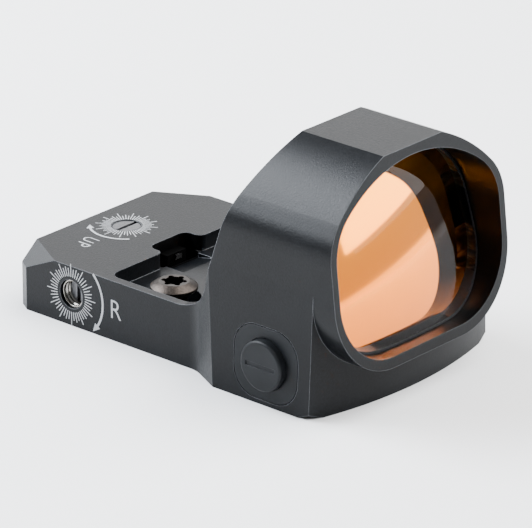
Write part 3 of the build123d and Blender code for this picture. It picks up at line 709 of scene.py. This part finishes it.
def arrow_arc(radius, start, end, width, head_length, head_width):
    """Curved arrow about the origin in the X-Y plane, head past its end."""
    turn = math.radians(start)
    across = (math.cos(turn), math.sin(turn))
    low = radius - width / 2
    high = radius + width / 2
    strip = chain([(low * across[0], low * across[1], 0), (high * across[0], high * across[1], 0)])
    spin_all(28, math.radians(start - end))
    strip = tidy_normals(strip)
    strip = thicken(strip, MARK_THICKNESS)
    sign = 1 if end > start else -1
    turn = math.radians(end)
    tip_turn = turn + sign * head_length / radius
    inner = radius - head_width / 2
    outer = radius + head_width / 2
    head = chain([
        (inner * math.cos(turn), inner * math.sin(turn), 0),
        (outer * math.cos(turn), outer * math.sin(turn), 0),
        (radius * math.cos(tip_turn), radius * math.sin(tip_turn), 0),
    ])
    edit_all((bpy.ops.mesh.edge_face_add, {}))
    head = thicken(head, MARK_THICKNESS)
    return join_all([strip, head])


def letter(text, height, narrow, x, y, turn=0.0):
    """Generic direction letter in the X-Y plane, its capital height given."""
    clear_selection()
    bpy.ops.object.text_add(location=(0, 0, 0))
    obj = bpy.context.object
    obj.data.body = text
    obj.data.size = height / CAPITAL_HEIGHT * MM
    obj.data.align_x = "CENTER"
    obj.data.align_y = "CENTER"
    obj.data.extrude = MARK_THICKNESS / 2 * MM
    obj.data.offset = -0.03 * MM
    bpy.ops.object.convert(target="MESH")
    obj = bpy.context.object
    obj.scale = (narrow, 1, 1)
    bpy.ops.object.transform_apply(location=False, rotation=False, scale=True)
    obj.rotation_euler = (0, 0, math.radians(turn))
    obj.location = (x * MM, y * MM, MARK_THICKNESS / 2 * MM)
    bpy.ops.object.transform_apply(location=True, rotation=True, scale=True)
    return obj


DECK_TOP = 6.93
DECK_SIDE = 12.5
LIFT = 0.004
ELEVATION = (0.0, REAR_EDGE + 4.7)
WINDAGE = (REAR_EDGE + 8.15, 3.65)


def on_deck(piece, name, body="sight"):
    """Lay a mark made about the origin on the elevation dial's centre."""
    piece.location = mm(ELEVATION[0], ELEVATION[1], DECK_TOP + LIFT)
    finish_piece(piece, name, mark_finish, body)


def on_side(piece, name, body="sight"):
    """Stand a mark made about the origin on the windage dial's centre."""
    piece.rotation_euler = (math.pi / 2, 0, math.pi / 2)
    piece.location = mm(DECK_SIDE + LIFT, WINDAGE[0], WINDAGE[1])
    finish_piece(piece, name, mark_finish, body)


def make_marks():
    """White dial rings, arrows and direction letters on the deck's top and side."""
    on_deck(dial_ticks(1.75, 2.75, 3.0, 3.5), "elevation_dial_mark")
    on_deck(arrow_arc(4.05, 47, -36, 0.26, 1.05, 0.85), "elevation_arrow_mark")
    letters = [letter("U", 1.95, 0.70, 5.72, -0.15), letter("P", 1.95, 0.74, 7.15, 0.1)]
    on_deck(join_all(letters), "elevation_letters_mark")
    on_side(dial_ticks(2.05, 3.0, 3.15, 3.55), "windage_dial_mark")
    on_side(arrow_arc(4.65, 45, -34, 0.26, 1.05, 0.85), "windage_arrow_mark")
    on_side(letter("R", 2.3, 0.92, 6.5, -0.12), "windage_letter_mark")


def make_windage_thread():
    """Threaded nickel bushing sunk in the windage hole."""
    low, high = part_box("windage_bushing")
    outer = (high[1] - low[1]) / 2 / MM
    wall = 0.3
    depth = 0.14
    inner = outer - wall
    length = (high[0] - low[0]) / MM
    pitch = 0.45
    points = [(outer, 0), (outer, length - 0.12), (outer - 0.1, length), (inner + 0.06, length)]
    height = length
    while height - pitch > 0.3:
        points.append((inner, height - pitch * 0.35))
        points.append((inner, height - pitch * 0.5))
        points.append((inner + depth, height - pitch * 0.85))
        points.append((inner + depth, height - pitch))
        height -= pitch
    points += [(inner, 0.1), (inner, 0), (outer, 0)]
    bushing = lathe(points, 96)
    bpy.ops.object.shade_smooth_by_angle(angle=math.radians(30))
    bushing.rotation_euler = (0, math.pi / 2, 0)
    bushing.location = (low[0], (low[1] + high[1]) / 2, (low[2] + high[2]) / 2)
    finish_piece(bushing, "windage_bushing_threaded", nickel_finish, "sight")
    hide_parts("windage_bushing")


def copy_node(node):
    """A copy of a CAD node's mesh with its doubles merged."""
    clear_selection()
    source = nodes[node]
    source.select_set(True)
    bpy.context.view_layer.objects.active = source
    bpy.ops.object.duplicate()
    copy = bpy.context.object
    for key in list(copy.keys()):
        del copy[key]
    bpy.ops.object.parent_clear(type="CLEAR_KEEP_TRANSFORM")
    bpy.ops.object.transform_apply(location=True, rotation=True, scale=True)
    edit_all((bpy.ops.mesh.remove_doubles, {"threshold": 0.0000005}),
             (bpy.ops.mesh.select_all, {"action": "DESELECT"}))
    return copy


def push_back(obj, step):
    """Move the active mesh by a step in millimetres along the lens's axis, rearwards."""
    move = Vector((0, -step, -step * LENS_SLOPE))
    edit_all((bpy.ops.transform.translate, {"value": move * MM}),
             (bpy.ops.mesh.select_all, {"action": "DESELECT"}))
    return obj


def make_glass(node, name, step):
    """Lens element with a ground, blackened rim."""
    glass = push_back(copy_node(node), step)
    glass.data.materials.clear()
    glass.data.materials.append(finish_of[node])
    glass.data.materials.append(rim_finish)
    for face in glass.data.polygons:
        side = abs(face.normal.y) < 0.55
        face.material_index = 1 if side else 0
        face.use_smooth = True
    bpy.context.view_layer.objects.active = glass
    bpy.ops.object.shade_smooth_by_angle(angle=math.radians(30))
    glass.name = name
    glass.data.name = name
    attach(glass, "sight")
    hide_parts(node)


def make_coating():
    """Mirror coating between the two lens elements, from the rear element's front."""
    sheet = copy_node("lens_rear_element")
    radius = (LENS_RADIUS - COATING_DEPTH) * MM
    tolerance = 0.00002
    for face in sheet.data.polygons:
        corners = [sheet.data.vertices[index].co for index in face.vertices]
        face.select = any(abs((corner - BALL).length - radius) > tolerance for corner in corners)
    bpy.ops.object.mode_set(mode="EDIT")
    bpy.ops.mesh.delete(type="FACE")
    bpy.ops.object.mode_set(mode="OBJECT")
    push_back(sheet, 0.04)
    for polygon in sheet.data.polygons:
        polygon.use_smooth = True
    if sum(polygon.normal.y for polygon in sheet.data.polygons) < 0:
        edit_all((bpy.ops.mesh.flip_normals, {}))
    finish_piece(sheet, "lens_coating", coating_finish, "sight")


make_marks()
make_windage_thread()
make_coating()
make_glass("lens_front_element", "lens_front_glass", 0.0)
make_glass("lens_rear_element", "lens_rear_glass", 0.08)


# ---------------------------------------------------------------- stage

STAGE_MIDDLE = (0, 0, 12)
WHITE = (1, 1, 1)
PALE_BLUE = (0.91, 0.95, 1.0)
COOL = (0.88, 0.93, 1.0)

# Name, place in millimetres, width and height in metres, radiance and colour.
LIGHTS = (
    ("overhead", (-420, 420, 760), (1.2, 1.2), 9.2, WHITE),
    ("rear high", (40, -350, 170), (0.24, 0.18), 11.5, PALE_BLUE),
    ("rear top", (95, -262, 305), (0.21, 0.16), 33.0, COOL),
    ("rear right", (250, -255, 190), (0.16, 0.14), 24.0, COOL),
    ("rear left", (-330, -300, 180), (0.34, 0.18), 3.3, WHITE),
    ("front left", (-330, 340, 60), (0.62, 0.34), 1.15, WHITE),
    ("front left strip", (-330, 285, 118), (0.26, 0.13), 6.5, WHITE),
)

CAMERA_TURN = 48.349
CAMERA_RISE = 22.086
CAMERA_RANGE = 0.5
CAMERA_LENS = 316.7


def look_at(obj, target):
    """Turn an object's -Z towards a point, with +Y up."""
    away = target - obj.location
    obj.rotation_euler = away.to_track_quat("-Z", "Y").to_euler()


def add_area(name, place, target, size, radiance, colour):
    """Soft area light of an even brightness."""
    data = bpy.data.lights.new(name, "AREA")
    data.shape = "RECTANGLE"
    data.size, data.size_y = size
    data.energy = radiance * math.pi * size[0] * size[1]
    data.color = colour
    lamp = bpy.data.objects.new(name, data)
    bpy.context.scene.collection.objects.link(lamp)
    lamp.location = place
    look_at(lamp, target)
    return lamp


def make_stage():
    """Pale floor and soft studio light."""
    clear_selection()
    bpy.ops.mesh.primitive_plane_add(size=6, location=(0, 0, 0))
    floor = bpy.context.object
    floor.name = "floor"
    material, tree, shader = start_material("pale floor")
    place = tree.nodes.new("ShaderNodeTexCoord")
    drift = noise_node(tree, place.outputs["Object"], 3.0, 2.0)
    tree.links.new(blend_colour(tree, drift, (0.80, 0.80, 0.80), (0.82, 0.82, 0.82)),
                   shader.inputs["Base Color"])
    shader.inputs["Roughness"].default_value = 0.9
    floor.data.materials.append(material)
    world = bpy.data.worlds.new("studio")
    bpy.context.scene.world = world
    world.use_nodes = True
    back = world.node_tree.nodes["Background"]
    back.inputs["Color"].default_value = (0.93, 0.96, 1.0, 1)
    back.inputs["Strength"].default_value = 0.38
    for name, place, size, radiance, colour in LIGHTS:
        add_area(name, mm(*place), mm(*STAGE_MIDDLE), size, radiance, colour)


def make_camera():
    """Camera in front, to the right and a little above."""
    turn = math.radians(CAMERA_TURN)
    rise = math.radians(CAMERA_RISE)
    away = Vector((math.sin(turn) * math.cos(rise), math.cos(turn) * math.cos(rise),
                   math.sin(rise)))
    data = bpy.data.cameras.new("camera")
    data.lens = CAMERA_LENS
    data.sensor_width = 36
    camera = bpy.data.objects.new("camera", data)
    bpy.context.scene.collection.objects.link(camera)
    camera.location = mm(0, -1.825, 12) + away * CAMERA_RANGE
    look_at(camera, mm(-0.235, 1.005, 7.80))
    bpy.context.scene.camera = camera


make_stage()
make_camera()
